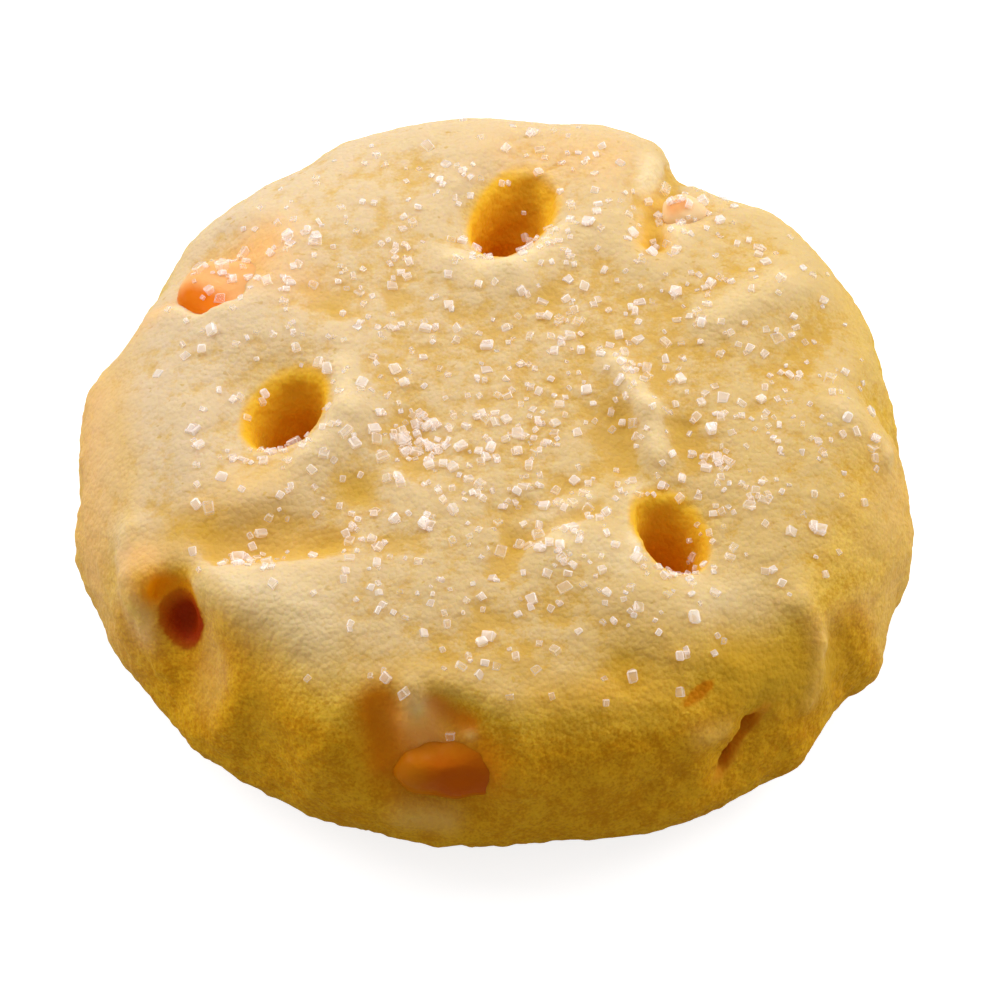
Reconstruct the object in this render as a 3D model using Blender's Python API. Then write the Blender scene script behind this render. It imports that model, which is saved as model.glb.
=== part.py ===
"""A thick round shortbread biscuit, pricked by hand, with three pieces of candied apricot in it.

A Blender 4.5 script, in metres with +Z up. The biscuit lies on its flat base at Z = 0 and the
origin is the middle of that base. Its front is at -Y. Sizes below are in millimetres, and MM
turns them into metres.
"""

import math
from collections import namedtuple

import bmesh
import bpy
import numpy as np
from mathutils import Matrix, Vector, noise

MM = 0.001

# Driving sizes of the biscuit.
WIDTH = 57.4
DEPTH = 57.8
HEIGHT = 16.4
WAIST = 4.7  # height at which the wall bulges furthest
SINK = 0.6  # how far the round section runs below the base before it is cut flat
BACK_NARROWING = 0.07  # share by which the back is narrower, and the front wider, than the middle

# The section is half a superellipse above the waist and another below it.
SHOULDER_FLAT, SHOULDER_ROUND = 5.6, 2.8
FOOT_FLAT, FOOT_ROUND = 5.4, 2.2
SECTION_POINTS = 40
SPIN_STEPS = 120

# The mesh is made even, shaped, cut, evened again, softened, thinned and relaxed.
EVEN_EDGE = 0.5
THINNING = 0.094
SOFTEN_FACTOR, SOFTEN_ROUNDS = 0.5, 3
RELAX_FACTOR, RELAX_ROUNDS = 0.25, 1

# Uneven hand shaping: (wave length, height, shift that picks the pattern).
UNEVENNESS = ((15.0, 0.30, 3.0), (6.5, 0.14, 21.0), (3.2, 0.06, 47.0))

# The pricking tool, outside the dough, and how finely its mark is made.
PIN_REACH = 4.0
PIN_FLARE = 1.3  # width of the tool outside the dough, in radii of its mark's mouth
PIN_STEPS, PIN_SIDES = 10, 24

LUMP_SCALE = 0.55  # size of the bumps on a lump, in shares of its radius
LUMP_FINENESS = 3

# Gap left between a piece of fruit and the dough round it.
FRUIT_GAP = 0.3

# The surface that it rests on, as the slab that cuts the base flat.
TABLE_SPREAD = 1.5  # in widths of the biscuit
TABLE_THICKNESS = 6.0

# A form pushes the dough out (rise above 0) or in, along a stroke from start to end.
Form = namedtuple("Form", "start end width rise")

# A pin is a round-ended tool mark from its mouth to its tip: an oval whose longer half is radius
# at the mouth, lying along the direction long, and that narrows to taper times that at the tip.
Pin = namedtuple("Pin", "mouth tip radius long squeeze taper")

# A lump is an uneven rounded mass.
Lump = namedtuple("Lump", "middle radii turn roughness")

TOP_FORMS = (
    # Lips thrown up round the three prick holes.
    Form((-10.6, 2.3, 16.4), (-9.9, -2.0, 16.4), 1.7, 0.40),
    Form((-9.9, -2.0, 16.4), (-13.0, -6.0, 16.3), 1.6, 0.40),
    Form((-3.3, 11.2, 16.4), (0.6, 9.6, 16.4), 1.5, 0.40),
    Form((0.6, 9.6, 16.4), (4.9, 14.4, 16.3), 1.5, 0.44),
    Form((8.9, -8.6, 16.3), (9.3, -12.9, 16.2), 1.5, 0.38),
    Form((9.3, -12.9, 16.2), (13.5, -15.6, 15.9), 1.4, 0.32),
    # Soft dips on the far side of each hole, where the tool leaned.
    Form((-17.6, 0.9, 16.2), (-16.6, 2.2, 16.3), 2.2, -0.42),
    Form((15.4, -10.6, 16.1), (15.0, -12.2, 16.0), 2.0, -0.40),
    # The lip along the burst hole at the back right.
    Form((6.9, 14.4, 16.2), (10.8, 10.6, 16.2), 1.4, 0.36),
    # A pinched ridge right of the middle with a hollow on each side.
    Form((8.3, 2.2, 16.4), (10.5, -1.8, 16.4), 1.0, 0.44),
    Form((10.5, -1.8, 16.4), (11.2, -5.8, 16.3), 1.1, 0.44),
    Form((8.0, -3.2, 16.4), (8.5, -7.6, 16.3), 1.4, -0.48),
    Form((12.9, -4.0, 16.3), (13.6, -6.4, 16.3), 1.4, -0.44),
    # The swollen lobe at the front right and the crease that bounds it.
    Form((5.2, -12.2, 16.4), (8.6, -15.0, 16.2), 3.8, 0.44),
    Form((0.2, -15.4, 16.3), (1.8, -11.2, 16.4), 1.0, -0.40),
    Form((1.8, -11.2, 16.4), (6.3, -8.6, 16.4), 1.0, -0.48),
    Form((8.4, -17.6, 16.0), (12.9, -19.6, 15.1), 2.4, 0.30),
    # The swollen lobe at the front left.
    Form((-19.4, -15.9, 14.5), (-13.4, -16.8, 15.6), 2.5, 0.80),
    # The trough and the pressed dimples left of the middle.
    Form((-18.4, -11.8, 15.6), (-9.4, -9.6, 16.3), 2.0, -0.78),
    Form((-17.3, -13.3, 15.5), (-6.0, -12.8, 16.3), 1.3, -0.36),
    Form((-10.0, -8.5, 16.3), (-9.6, -8.1, 16.3), 1.2, -0.55),
    Form((-6.0, -3.0, 16.4), (-5.4, -6.2, 16.4), 1.3, -0.62),
    Form((-3.7, -20.5, 15.7), (4.3, -17.9, 16.1), 1.5, -0.28),
    Form((2.9, 8.7, 16.4), (3.3, 8.0, 16.4), 1.3, -0.30),
    # Broad swells and dips towards the right and back edges.
    Form((15.2, 6.0, 16.2), (20.4, 10.0, 15.0), 1.9, 0.58),
    Form((15.6, 15.0, 15.4), (18.0, 14.2, 14.8), 2.6, -0.40),
    Form((20.6, 2.2, 15.7), (23.1, 7.2, 14.3), 1.8, -0.50),
    Form((-9.7, 20.9, 15.1), (-5.7, 20.0, 15.7), 2.4, -0.36),
    Form((8.6, 19.8, 15.6), (9.4, 20.6, 15.2), 1.6, -0.34),
    Form((-11.4, 7.2, 16.3), (-11.2, 7.6, 16.3), 1.0, -0.55),
    Form((-17.5, 5.4, 16.1), (-10.0, 4.9, 16.4), 2.0, 0.30),
)

EDGE_FORMS = (
    # Left: a shoulder ridge, and the flat knob below the exposed fruit.
    Form((-24.9, -9.6, 13.5), (-22.9, -16.2, 11.9), 1.6, 0.50),
    Form((-27.6, 2.4, 9.0), (-27.6, -0.4, 8.0), 3.6, 0.40),
    Form((-28.6, -2.6, 8.0), (-29.0, -2.6, 4.0), 1.4, -0.45),
    Form((-24.0, 12.0, 11.0), (-25.6, 9.4, 8.0), 2.2, -0.60),
    Form((-26.4, 8.2, 11.4), (-26.9, 7.8, 5.0), 1.7, -0.85),
    Form((-27.6, 4.6, 9.6), (-27.8, 4.0, 6.0), 2.0, 0.55),
    Form((-28.2, -5.4, 6.4), (-28.0, -7.4, 5.0), 2.4, 0.50),
    Form((-24.6, 7.2, 12.6), (-25.8, 6.6, 10.0), 1.8, 0.40),
    # Front left: the hollow under the swollen lobe and the hollow below the deep cavity.
    Form((-16.8, -20.9, 13.3), (-15.8, -24.6, 8.6), 2.2, -0.66),
    Form((-23.0, -19.0, 10.4), (-23.4, -18.0, 6.0), 2.4, -1.00),
    # Front: the edge above the fruit, and the lobes either side of it.
    Form((-3.6, -23.8, 14.9), (5.2, -24.6, 14.4), 1.9, 0.34),
    Form((-12.2, -25.6, 11.4), (-11.6, -26.4, 5.0), 2.4, 0.40),
    Form((-1.0, -28.6, 4.6), (-6.0, -28.2, 4.6), 2.2, 0.30),
    # Front right: small pressed dents and upright folds.
    Form((8.8, -22.0, 15.0), (9.2, -22.9, 14.4), 0.95, -0.60),
    Form((14.8, -19.5, 14.8), (18.5, -19.2, 13.4), 1.9, -0.36),
    Form((20.4, -16.0, 14.0), (21.8, -18.8, 7.0), 1.3, 0.55),
    Form((23.2, -17.0, 10.8), (23.9, -17.0, 6.8), 1.8, -0.80),
    Form((12.6, -24.6, 10.0), (12.9, -25.6, 5.0), 1.6, 0.36),
    Form((19.9, -21.2, 6.4), (19.4, -21.6, 3.0), 1.3, 0.60),
    Form((24.6, -12.6, 6.0), (24.0, -14.0, 3.0), 2.0, 0.50),
    # Right: the ridge along the edge with a fold behind it.
    Form((23.6, -0.4, 14.8), (26.5, -3.2, 12.9), 1.4, 0.52),
    Form((26.8, 2.2, 12.4), (28.6, -1.4, 4.0), 1.4, -0.95),
    Form((28.0, -6.2, 7.0), (28.0, -7.2, 4.0), 3.0, 0.45),
    # Back right: the edge steps in past the burst hole.
    Form((16.4, 20.2, 14.0), (17.0, 22.0, 7.0), 2.8, -1.10),
    Form((8.0, 25.0, 13.0), (9.6, 25.6, 7.0), 2.8, 0.30),
    Form((10.2, 21.0, 14.8), (10.4, 23.6, 12.0), 1.8, 0.25),
    # Back: soft folds and dents left by the hands that rolled it.
    Form((3.2, 27.0, 11.4), (1.6, 28.0, 4.0), 2.2, -0.50),
    Form((-4.6, 26.8, 9.0), (-6.4, 27.0, 3.6), 2.6, 0.40),
    Form((-13.4, 22.6, 12.0), (-14.8, 23.4, 4.6), 2.0, -0.62),
    Form((-20.6, 17.4, 10.0), (-21.4, 17.6, 3.4), 2.4, 0.45),
    Form((20.6, 17.2, 7.0), (21.4, 17.6, 3.0), 1.9, -0.50),
    Form((25.6, 9.4, 9.4), (26.4, 8.6, 3.6), 2.0, 0.40),
    # All round: where the foot or the back edge spreads further than a turned body.
    Form((9.0, -28.6, 3.0), (21.5, -21.0, 3.0), 3.2, 0.80),
    Form((24.8, -16.2, 7.0), (25.6, -14.2, 3.0), 1.7, 0.95),
    Form((-25.8, -14.0, 4.0), (-24.0, -17.4, 3.6), 2.4, 0.10),
    Form((-13.0, 23.4, 11.0), (8.0, 26.4, 11.0), 4.0, 0.42),
    Form((18.2, 18.6, 12.4), (24.0, 11.0, 11.6), 3.2, 0.55),
)

PRICKS = (
    Pin((1.1, 15.7, 16.4), (-0.3, 13.9, 9.4), 4.2, (0.50, 0.86, 0.0), 0.62, 0.56),
    Pin((-14.6, -1.5, 16.4), (-13.0, -2.6, 9.4), 3.6, (0.58, 0.82, 0.0), 0.68, 0.56),
    Pin((12.1, -11.9, 16.4), (10.9, -12.9, 9.8), 3.4, (0.50, -0.86, 0.0), 0.70, 0.58),
)

# The fourth prick broke out through the back edge and left a narrow groove.
BURST = (
    Pin((10.9, 13.8, 16.8), (10.9, 14.0, 12.0), 1.4, (0.0, 1.0, 0.0), 0.85, 0.85),
    Pin((11.5, 16.6, 17.4), (11.8, 18.6, 9.6), 4.0, (0.08, 1.0, 0.0), 0.33, 0.85),
    Pin((14.7, 20.8, 17.0), (14.7, 27.6, 6.0), 2.7, (1.0, 0.0, 0.0), 0.95, 0.90),
)

# The deep broken cavity on the left shoulder, undercutting the front lobe.
CAVITY = (
    Pin((-22.9, -17.2, 14.2), (-18.2, -14.0, 8.4), 3.1, (-0.2, -0.9, -0.4), 0.68, 0.7),
    Pin((-22.6, -20.2, 11.4), (-18.2, -16.8, 7.2), 3.1, (-0.1, -0.6, -0.8), 0.70, 0.7),
)

CRACKS = (
    Pin((18.6, -24.8, 9.6), (15.6, -20.8, 8.4), 2.4, (0.6, 0.5, 0.6), 0.50, 0.6),
    Pin((16.8, -26.4, 7.6), (14.2, -22.0, 6.8), 2.4, (0.6, 0.4, 0.7), 0.50, 0.6),
    Pin((14.9, -24.4, 15.0), (13.0, -21.4, 11.8), 2.0, (0.8, 0.5, 0.3), 0.50, 0.6),
)

# Openings in the wall through which the front piece of fruit shows, either side of a dough tongue.
WINDOWS = (
    Lump((-3.2, -29.6, 9.2), (4.2, 3.0, 3.6), 0, 0.25),
    Lump((-8.2, -27.0, 12.0), (1.9, 2.4, 3.0), 0, 0.20),
    Lump((-2.7, -27.0, 13.4), (1.8, 2.2, 1.5), -10, 0.20),
)

FRUIT = {
    "fruit_left": Lump((-18.4, 11.4, 13.6), (4.5, 3.7, 2.7), 40, 0.70),
    "fruit_front": Lump((-3.9, -25.0, 9.8), (5.1, 3.2, 4.1), 0, 0.55),
    "fruit_back": Lump((13.7, 17.6, 14.2), (1.5, 1.4, 1.5), 0, 0.45),
}

# Linear colour, roughness.
DOUGH = ((0.72, 0.50, 0.23), 0.62)
CANDIED = ((0.72, 0.26, 0.06), 0.28)


def clear_scene():
    for thing in list(bpy.data.objects):
        bpy.data.objects.remove(thing, do_unlink=True)


def food_material(name, look):
    colour, roughness = look
    material = bpy.data.materials.new(name)
    material.use_nodes = True
    shader = material.node_tree.nodes["Principled BSDF"]
    shader.inputs["Base Color"].default_value = (*colour, 1.0)
    shader.inputs["Roughness"].default_value = roughness
    shader.inputs["Metallic"].default_value = 0.0
    material.diffuse_color = (*colour, 1.0)
    return material


def new_object(name, mesh):
    thing = bpy.data.objects.new(name, mesh)
    bpy.context.scene.collection.objects.link(thing)
    return thing


def as_cutter(thing):
    thing.hide_render = True
    thing.display_type = "WIRE"
    return thing


def finished_mesh(bm, name):
    mesh = bpy.data.meshes.new(name)
    bm.to_mesh(mesh)
    bm.free()
    return mesh


def evaluated_mesh(thing):
    graph = bpy.context.evaluated_depsgraph_get()
    return bpy.data.meshes.new_from_object(thing.evaluated_get(graph), depsgraph=graph)


def spun(profile, steps):
    """A closed turned body from a profile of (radius, height) that starts and ends on the Z axis."""
    bm = bmesh.new()
    line = [bm.verts.new((radius * MM, 0.0, height * MM)) for radius, height in profile]
    edges = [bm.edges.new(pair) for pair in zip(line, line[1:])]
    bmesh.ops.spin(
        bm, geom=line + edges, cent=(0, 0, 0), axis=(0, 0, 1), dvec=(0, 0, 0),
        angle=math.tau, steps=steps, use_merge=True, use_duplicate=False,
    )
    bmesh.ops.remove_doubles(bm, verts=bm.verts, dist=0.00001 * MM)
    bmesh.ops.recalc_face_normals(bm, faces=bm.faces)
    return bm


def superellipse(share, flat, rounded):
    """The point at a share, 0 to 1, of the way from the top of a unit superellipse to its side."""
    angle = (1.0 - share) * math.pi / 2
    return math.cos(angle) ** (2 / flat), math.sin(angle) ** (2 / rounded)


def section():
    """The turned section: up from the base's middle, past the foot, the waist and the shoulder."""
    shares = [step / SECTION_POINTS for step in range(SECTION_POINTS + 1)]
    radius = WIDTH / 2
    above = [superellipse(share, SHOULDER_FLAT, SHOULDER_ROUND) for share in shares]
    below = [superellipse(share, FOOT_FLAT, FOOT_ROUND) for share in reversed(shares)]
    shoulder = [(radius * out, WAIST + (HEIGHT - WAIST) * up) for out, up in above]
    foot = [(radius * out, WAIST - (WAIST + SINK) * up) for out, up in below]
    return shoulder + foot[1:]


def stroke_weight(points, form):
    """How strongly a form acts on each point: 1 on its stroke, fading away over its width."""
    start = np.array(form.start)
    along = np.array(form.end) - start
    share = np.clip((points - start) @ along / (along @ along), 0.0, 1.0)
    distance = np.linalg.norm(points - start - share[:, None] * along, axis=1)
    return np.exp(-((distance / form.width) ** 2))


def uneven(point, scale, shift):
    """Smooth seeded unevenness between about -1 and 1 at a point in millimetres."""
    return noise.noise(Vector(point) / scale + Vector((shift, shift * 0.5, -shift)))


def shape_dough(mesh):
    """Pushes the plain turned body into its hand-made shape, along its normals."""
    count = len(mesh.vertices)
    points = np.empty(count * 3)
    normals = np.empty(count * 3)
    mesh.vertices.foreach_get("co", points)
    mesh.vertex_normals.foreach_get("vector", normals)
    points = points.reshape(-1, 3) / MM
    normals = normals.reshape(-1, 3)
    push = np.zeros(count)
    for form in TOP_FORMS + EDGE_FORMS:
        push += form.rise * stroke_weight(points, form)
    for scale, height, shift in UNEVENNESS:
        push += height * np.array([uneven(point, scale, shift) for point in points])
    points += normals * push[:, None]
    mesh.vertices.foreach_set("co", (points * MM).ravel())
    mesh.update()


def pin_cutter(name, pin):
    """A round-ended tapering tool that reaches well out of the dough at its mouth."""
    mouth, tip = Vector(pin.mouth), Vector(pin.tip)
    depth = (tip - mouth).length
    end_radius = pin.radius * pin.taper
    profile = [(0.0, PIN_REACH), (pin.radius * PIN_FLARE, PIN_REACH)]
    for step in range(PIN_STEPS + 1):
        share = step / PIN_STEPS
        flare = (pin.radius - end_radius) * (1.0 - share) ** 1.5
        rounding = math.sqrt(1.0 - share**5)
        profile.append(((end_radius + flare) * rounding, -depth * share))
    bm = spun(profile, PIN_SIDES)
    out = (mouth - tip).normalized()
    long = Vector(pin.long)
    long = (long - out * long.dot(out)).normalized()
    frame = Matrix((long, out.cross(long), out)).transposed().to_4x4()
    squeeze = Matrix.Diagonal((1.0, pin.squeeze, 1.0, 1.0))
    place = Matrix.Translation(mouth * MM)
    bmesh.ops.transform(bm, matrix=place @ frame @ squeeze, verts=bm.verts)
    return as_cutter(new_object(name, finished_mesh(bm, name)))


def lump_mesh(name, lump, swell=0.0):
    """An uneven rounded lump, grown by swell on every side."""
    bm = bmesh.new()
    bmesh.ops.create_icosphere(bm, subdivisions=LUMP_FINENESS, radius=1.0)
    turn = Matrix.Rotation(math.radians(lump.turn), 4, "Z")
    for vert in bm.verts:
        direction = vert.co.normalized()
        bump = lump.roughness * uneven(direction, LUMP_SCALE, sum(lump.radii))
        size = Vector([radius + bump + swell for radius in lump.radii])
        vert.co = turn @ (direction * size) * MM + Vector(lump.middle) * MM
    return finished_mesh(bm, name)


def boolean(thing, name, cutter):
    step = thing.modifiers.new(name, "BOOLEAN")
    step.operation = "DIFFERENCE"
    step.solver = "EXACT"
    step.object = cutter


def even_mesh(thing, name):
    step = thing.modifiers.new(name, "REMESH")
    step.mode = "VOXEL"
    step.voxel_size = EVEN_EDGE * MM


def table_cutter():
    """A slab whose top is the surface that the biscuit rests on."""
    bm = bmesh.new()
    bmesh.ops.create_cube(bm, size=1.0)
    for vert in bm.verts:
        vert.co.x *= WIDTH * TABLE_SPREAD * MM
        vert.co.y *= DEPTH * TABLE_SPREAD * MM
        vert.co.z = 0.0 if vert.co.z > 0 else -TABLE_THICKNESS * MM
    return as_cutter(new_object("table", finished_mesh(bm, "table")))


def make_shortbread():
    """The dough: a turned body, shaped by hand, pricked, cracked and cut flat underneath."""
    bm = spun(section(), SPIN_STEPS)
    for vert in bm.verts:
        backward = vert.co.y / (WIDTH / 2 * MM)
        vert.co.x *= 1.0 - BACK_NARROWING * backward
        vert.co.y *= DEPTH / WIDTH
    blank = as_cutter(new_object("blank", finished_mesh(bm, "blank")))
    even_mesh(blank, "even")
    mesh = evaluated_mesh(blank)
    bpy.data.objects.remove(blank, do_unlink=True)
    shape_dough(mesh)
    dough = new_object("shortbread", mesh)

    for number, pin in enumerate(PRICKS + BURST + CAVITY + CRACKS):
        boolean(dough, f"pin_{number}", pin_cutter(f"pin_{number}", pin))
    for number, window in enumerate(WINDOWS):
        opening = new_object(f"window_{number}", lump_mesh(f"window_{number}", window))
        boolean(dough, f"window_{number}", as_cutter(opening))
    even_mesh(dough, "even")
    soften = dough.modifiers.new("soften", "SMOOTH")
    soften.factor = SOFTEN_FACTOR
    soften.iterations = SOFTEN_ROUNDS
    thin = dough.modifiers.new("thin", "DECIMATE")
    thin.ratio = THINNING
    relax = dough.modifiers.new("relax", "SMOOTH")
    relax.factor = RELAX_FACTOR
    relax.iterations = RELAX_ROUNDS
    boolean(dough, "flat_base", table_cutter())
    for name, lump in FRUIT.items():
        pocket = new_object(f"{name}_pocket", lump_mesh(f"{name}_pocket", lump, FRUIT_GAP))
        boolean(dough, f"{name}_pocket", as_cutter(pocket))
    dough.data.materials.append(food_material("baked_dough", DOUGH))
    return dough


def make_fruit(name, lump):
    fruit = new_object(name, lump_mesh(name, lump))
    fruit.data.materials.append(food_material(f"{name}_candied", CANDIED))
    fruit.data.shade_smooth()
    return fruit


def main():
    clear_scene()
    make_shortbread()
    for name, lump in FRUIT.items():
        make_fruit(name, lump)


main()
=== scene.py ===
"""The looks of a thick, hand-shaped shortbread biscuit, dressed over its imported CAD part.

The biscuit lies on its flat base at Z = 0 with its front at -Y. Sizes below are in millimetres,
and MM turns them into metres. The dough is worked in four steps: a copy of the CAD dough is made
even and smooth with its marks stopped up, it gets its small forms, the marks are cut again with
crisp edges, and its surface is made crumbly. The candied fruit and the sugar come after it.
"""

import math
import random
from collections import namedtuple

import bmesh
import bpy
import numpy as np
from mathutils import Matrix, Vector, noise
from mathutils.bvhtree import BVHTree


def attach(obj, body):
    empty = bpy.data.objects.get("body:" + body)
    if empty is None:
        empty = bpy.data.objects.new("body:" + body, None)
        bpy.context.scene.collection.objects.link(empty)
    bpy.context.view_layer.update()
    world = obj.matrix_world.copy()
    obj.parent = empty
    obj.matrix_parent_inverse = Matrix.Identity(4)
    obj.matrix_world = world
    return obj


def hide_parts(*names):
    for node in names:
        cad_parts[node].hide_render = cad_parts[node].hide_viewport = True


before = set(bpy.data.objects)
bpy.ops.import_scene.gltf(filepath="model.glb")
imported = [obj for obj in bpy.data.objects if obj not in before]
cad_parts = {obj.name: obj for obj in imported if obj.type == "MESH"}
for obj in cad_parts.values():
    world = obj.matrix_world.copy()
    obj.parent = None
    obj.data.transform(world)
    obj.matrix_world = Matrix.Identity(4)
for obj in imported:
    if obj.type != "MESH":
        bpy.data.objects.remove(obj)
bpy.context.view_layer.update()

MM = 0.001

# A form pushes the dough out (rise above 0) or in, along a stroke from start to end.
Form = namedtuple("Form", "start end width rise")

# A pin is a round-ended tool mark from its mouth to its tip: an oval whose longer half is radius
# at the mouth, lying along the direction long, and that narrows to taper times that at the tip.
Pin = namedtuple("Pin", "mouth tip radius long squeeze taper")

# A lump is an uneven rounded mass.
Lump = namedtuple("Lump", "middle radii turn")

# A tint colours the dough along a stroke from start to end.
Tint = namedtuple("Tint", "start end width strength")

# The marks in the dough: the three prick holes, the broken cavity on the left and the cracks at the
# front right. They lie where the CAD part has them, and the cavity is narrower than there.
PRICKS = (
    Pin((1.3, 16.0, 16.4), (-0.3, 14.0, 9.4), 4.6, (0.46, 0.89, 0.0), 0.60, 0.56),
    Pin((-14.6, -1.5, 16.4), (-13.0, -2.6, 9.4), 3.6, (0.58, 0.82, 0.0), 0.68, 0.56),
    Pin((12.1, -11.9, 16.4), (10.9, -12.9, 9.8), 3.4, (0.50, -0.86, 0.0), 0.70, 0.58),
)
CAVITY = (
    Pin((-22.3, -17.7, 13.5), (-20.9, -15.1, 10.3), 2.3, (0.08, -0.80, -0.60), 0.76, 0.75),
)
CRACKS = (
    Pin((18.6, -24.8, 9.6), (15.6, -20.8, 8.4), 2.4, (0.6, 0.5, 0.6), 0.34, 0.5),
    Pin((17.0, -26.4, 7.9), (14.4, -22.0, 7.1), 2.5, (0.6, 0.4, 0.7), 0.38, 0.5),
    Pin((14.6, -25.4, 14.8), (13.2, -22.0, 12.2), 2.0, (0.8, 0.5, 0.3), 0.34, 0.5),
)
MARKS = PRICKS + CAVITY + CRACKS

# Openings through which the fruit shows.
WINDOWS = (
    Lump((-20.2, 9.6, 15.5), (2.7, 2.5, 1.3), -16),
)

# Where the CAD part's pockets for the fruit, its groove at the back and its wider cavity are, so
# that they can be stopped up.
POCKETS = (
    Lump((-18.4, 11.4, 13.6), (4.5, 3.7, 2.7), 40),
    Lump((-3.9, -25.0, 9.8), (5.1, 3.2, 4.1), 0),
    Lump((13.7, 17.6, 14.2), (1.5, 1.4, 1.5), 0),
    Lump((11.2, 16.8, 14.2), (2.2, 4.8, 3.6), 0),
    Lump((-21.6, -17.8, 10.4), (3.9, 4.4, 4.4), 0),
)

# Colours laid over the dough: the fruit showing through a film of dough; painted shade in the dimples, on
# slopes facing the front, in creases and deep in the cavity and cracks; and painted light on pale lips,
# lobes and edges, on shaded spots, on a highlight above the front fruit and on the wedge at the top of the
# cavity.
TINTS = {
    "fruit_film_and_painted_light": (
        # The fruit showing through a film of dough, and painted light: the shaded wall left of the cavity
        # and the edges at the left, back and right made paler.
        Tint((-20.4, 11.4, 15.0), (-16.4, 13.6, 15.4), 2.2, 1.0),
        Tint((-24.2, 7.6, 12.6), (-23.2, 8.4, 13.8), 1.2, 0.8),
        Tint((-24.6, -11.8, 12.8), (-23.4, -12.4, 13.4), 1.3, 0.9),
        Tint((-24.6, -13.0, 12.4), (-24.7, -16.0, 9.6), 1.3, 1.2),
        Tint((-28.5, 2.0, 10.0), (-27.2, -8.0, 9.0), 4.0, 0.7),
        Tint((-26.6, -10.0, 7.0), (-25.0, -13.6, 6.0), 2.6, 0.3),
        Tint((2.0, 21.5, 15.6), (8.0, 21.5, 15.4), 3.0, 0.35),
        Tint((27.5, -4.0, 10.0), (26.0, -9.0, 8.0), 4.0, 0.4),
        Tint((12.6, 16.8, 15.6), (14.0, 17.2, 15.5), 1.3, 0.9),
        Tint((-15.6, 10.4, 16.0), (-13.6, 9.2, 16.2), 2.0, 0.45),
    ),
    "painted_highlight": (
        # Painted highlight: a pale pinkish spot on the bulge above the front fruit.
        Tint((-5.1, -25.6, 13.5), (-4.4, -27.0, 12.2), 1.4, 1.6),
    ),
    "painted_light_and_shade_gold": (
        # Painted light lifting self-shadowed spots in the fold at the back and along the front shoulder,
        # and golden painted shade in the trough and below the cavity.
        Tint((10.9, 13.0, 16.0), (11.6, 18.3, 15.2), 1.1, 0.9),
        Tint((-22.4, -18.2, 10.9), (-20.8, -20.6, 9.8), 1.5, 0.8),
        Tint((-20.9, -10.4, 15.2), (-15.4, -7.0, 16.2), 2.2, 0.3),
        Tint((3.0, -24.4, 13.8), (12.0, -23.0, 13.8), 1.6, 0.6),
        Tint((-19.0, -12.2, 15.0), (-11.0, -12.2, 15.4), 1.6, 0.25),
    ),
    "fruit_film_and_painted_shade": (
        # The front fruit showing through a film of dough, then painted shade darkening the slope and crease
        # below the cavity.
        Tint((-7.8, -24.8, 13.9), (-6.9, -27.2, 11.2), 1.4, 1.6),
        Tint((-5.8, -27.6, 10.6), (-1.4, -27.6, 11.0), 2.1, 1.3),
        Tint((-4.0, -24.9, 14.2), (-2.0, -25.8, 13.5), 0.7, 1.6),
        Tint((-22.2, -18.0, 11.0), (-20.8, -20.2, 10.6), 1.4, 1.2),
        Tint((-21.4, -18.2, 11.4), (-20.3, -19.4, 11.4), 1.1, 1.0),
        Tint((-20.1, -18.6, 12.6), (-20.4, -20.8, 10.2), 0.7, 0.9),
    ),
    "painted_light_wedge": (
        # Painted light: the shaded wedge at the top of the cavity made bright orange.
        Tint((-23.0, -14.2, 12.8), (-21.8, -14.8, 13.0), 1.1, 1.5),
    ),
    "olive_painted_shade": (
        # Painted shade: olive gold in dimples, creases and on slopes facing the front.
        Tint((-10.0, -8.5, 16.4), (-9.6, -8.6, 16.4), 1.3, 0.6),
        Tint((8.6, -22.0, 14.9), (9.2, -22.9, 14.2), 1.0, 0.7),
        Tint((16.0, -20.2, 14.0), (18.6, -20.4, 12.6), 1.9, 0.6),
        Tint((17.0, -21.8, 12.6), (23.4, -18.4, 9.4), 2.8, 0.8),
        Tint((-6.0, -22.6, 14.9), (2.0, -22.2, 15.0), 1.4, 0.6),
        Tint((-21.4, -11.2, 14.6), (-20.0, -11.0, 15.2), 1.8, 0.55),
        Tint((-11.4, 7.3, 16.6), (-11.3, 7.0, 16.6), 0.5, 0.9),
        Tint((-16.1, -22.4, 12.6), (-15.8, -24.0, 10.3), 1.5, 0.5),
    ),
    "cream": (
        # Painted light: shaded lobes, lips and ridges kept pale.
        Tint((-17.8, -17.4, 16.0), (-12.6, -19.8, 15.6), 2.6, 0.8),
        Tint((-24.4, -13.4, 12.4), (-24.6, -15.6, 10.2), 1.0, 0.6),
        Tint((-5.5, -24.2, 14.5), (-5.2, -25.0, 14.0), 0.7, 0.4),
        Tint((14.8, -17.3, 15.3), (17.6, -17.0, 14.8), 2.0, 0.5),
        Tint((4.6, -12.6, 16.6), (8.4, -14.6, 16.2), 1.5, 0.6),
    ),
    "painted_shade_dark": (
        # Painted shade: dark red deep in the cavity and in the cracks.
        Tint((-21.3, -16.8, 12.4), (-20.4, -15.0, 10.2), 2.4, 1.3),
        Tint((14.6, -24.8, 14.0), (13.2, -22.4, 12.4), 1.8, 0.25),
        Tint((17.6, -22.6, 9.6), (14.4, -25.2, 7.0), 1.8, 0.3),
    ),
}

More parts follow.
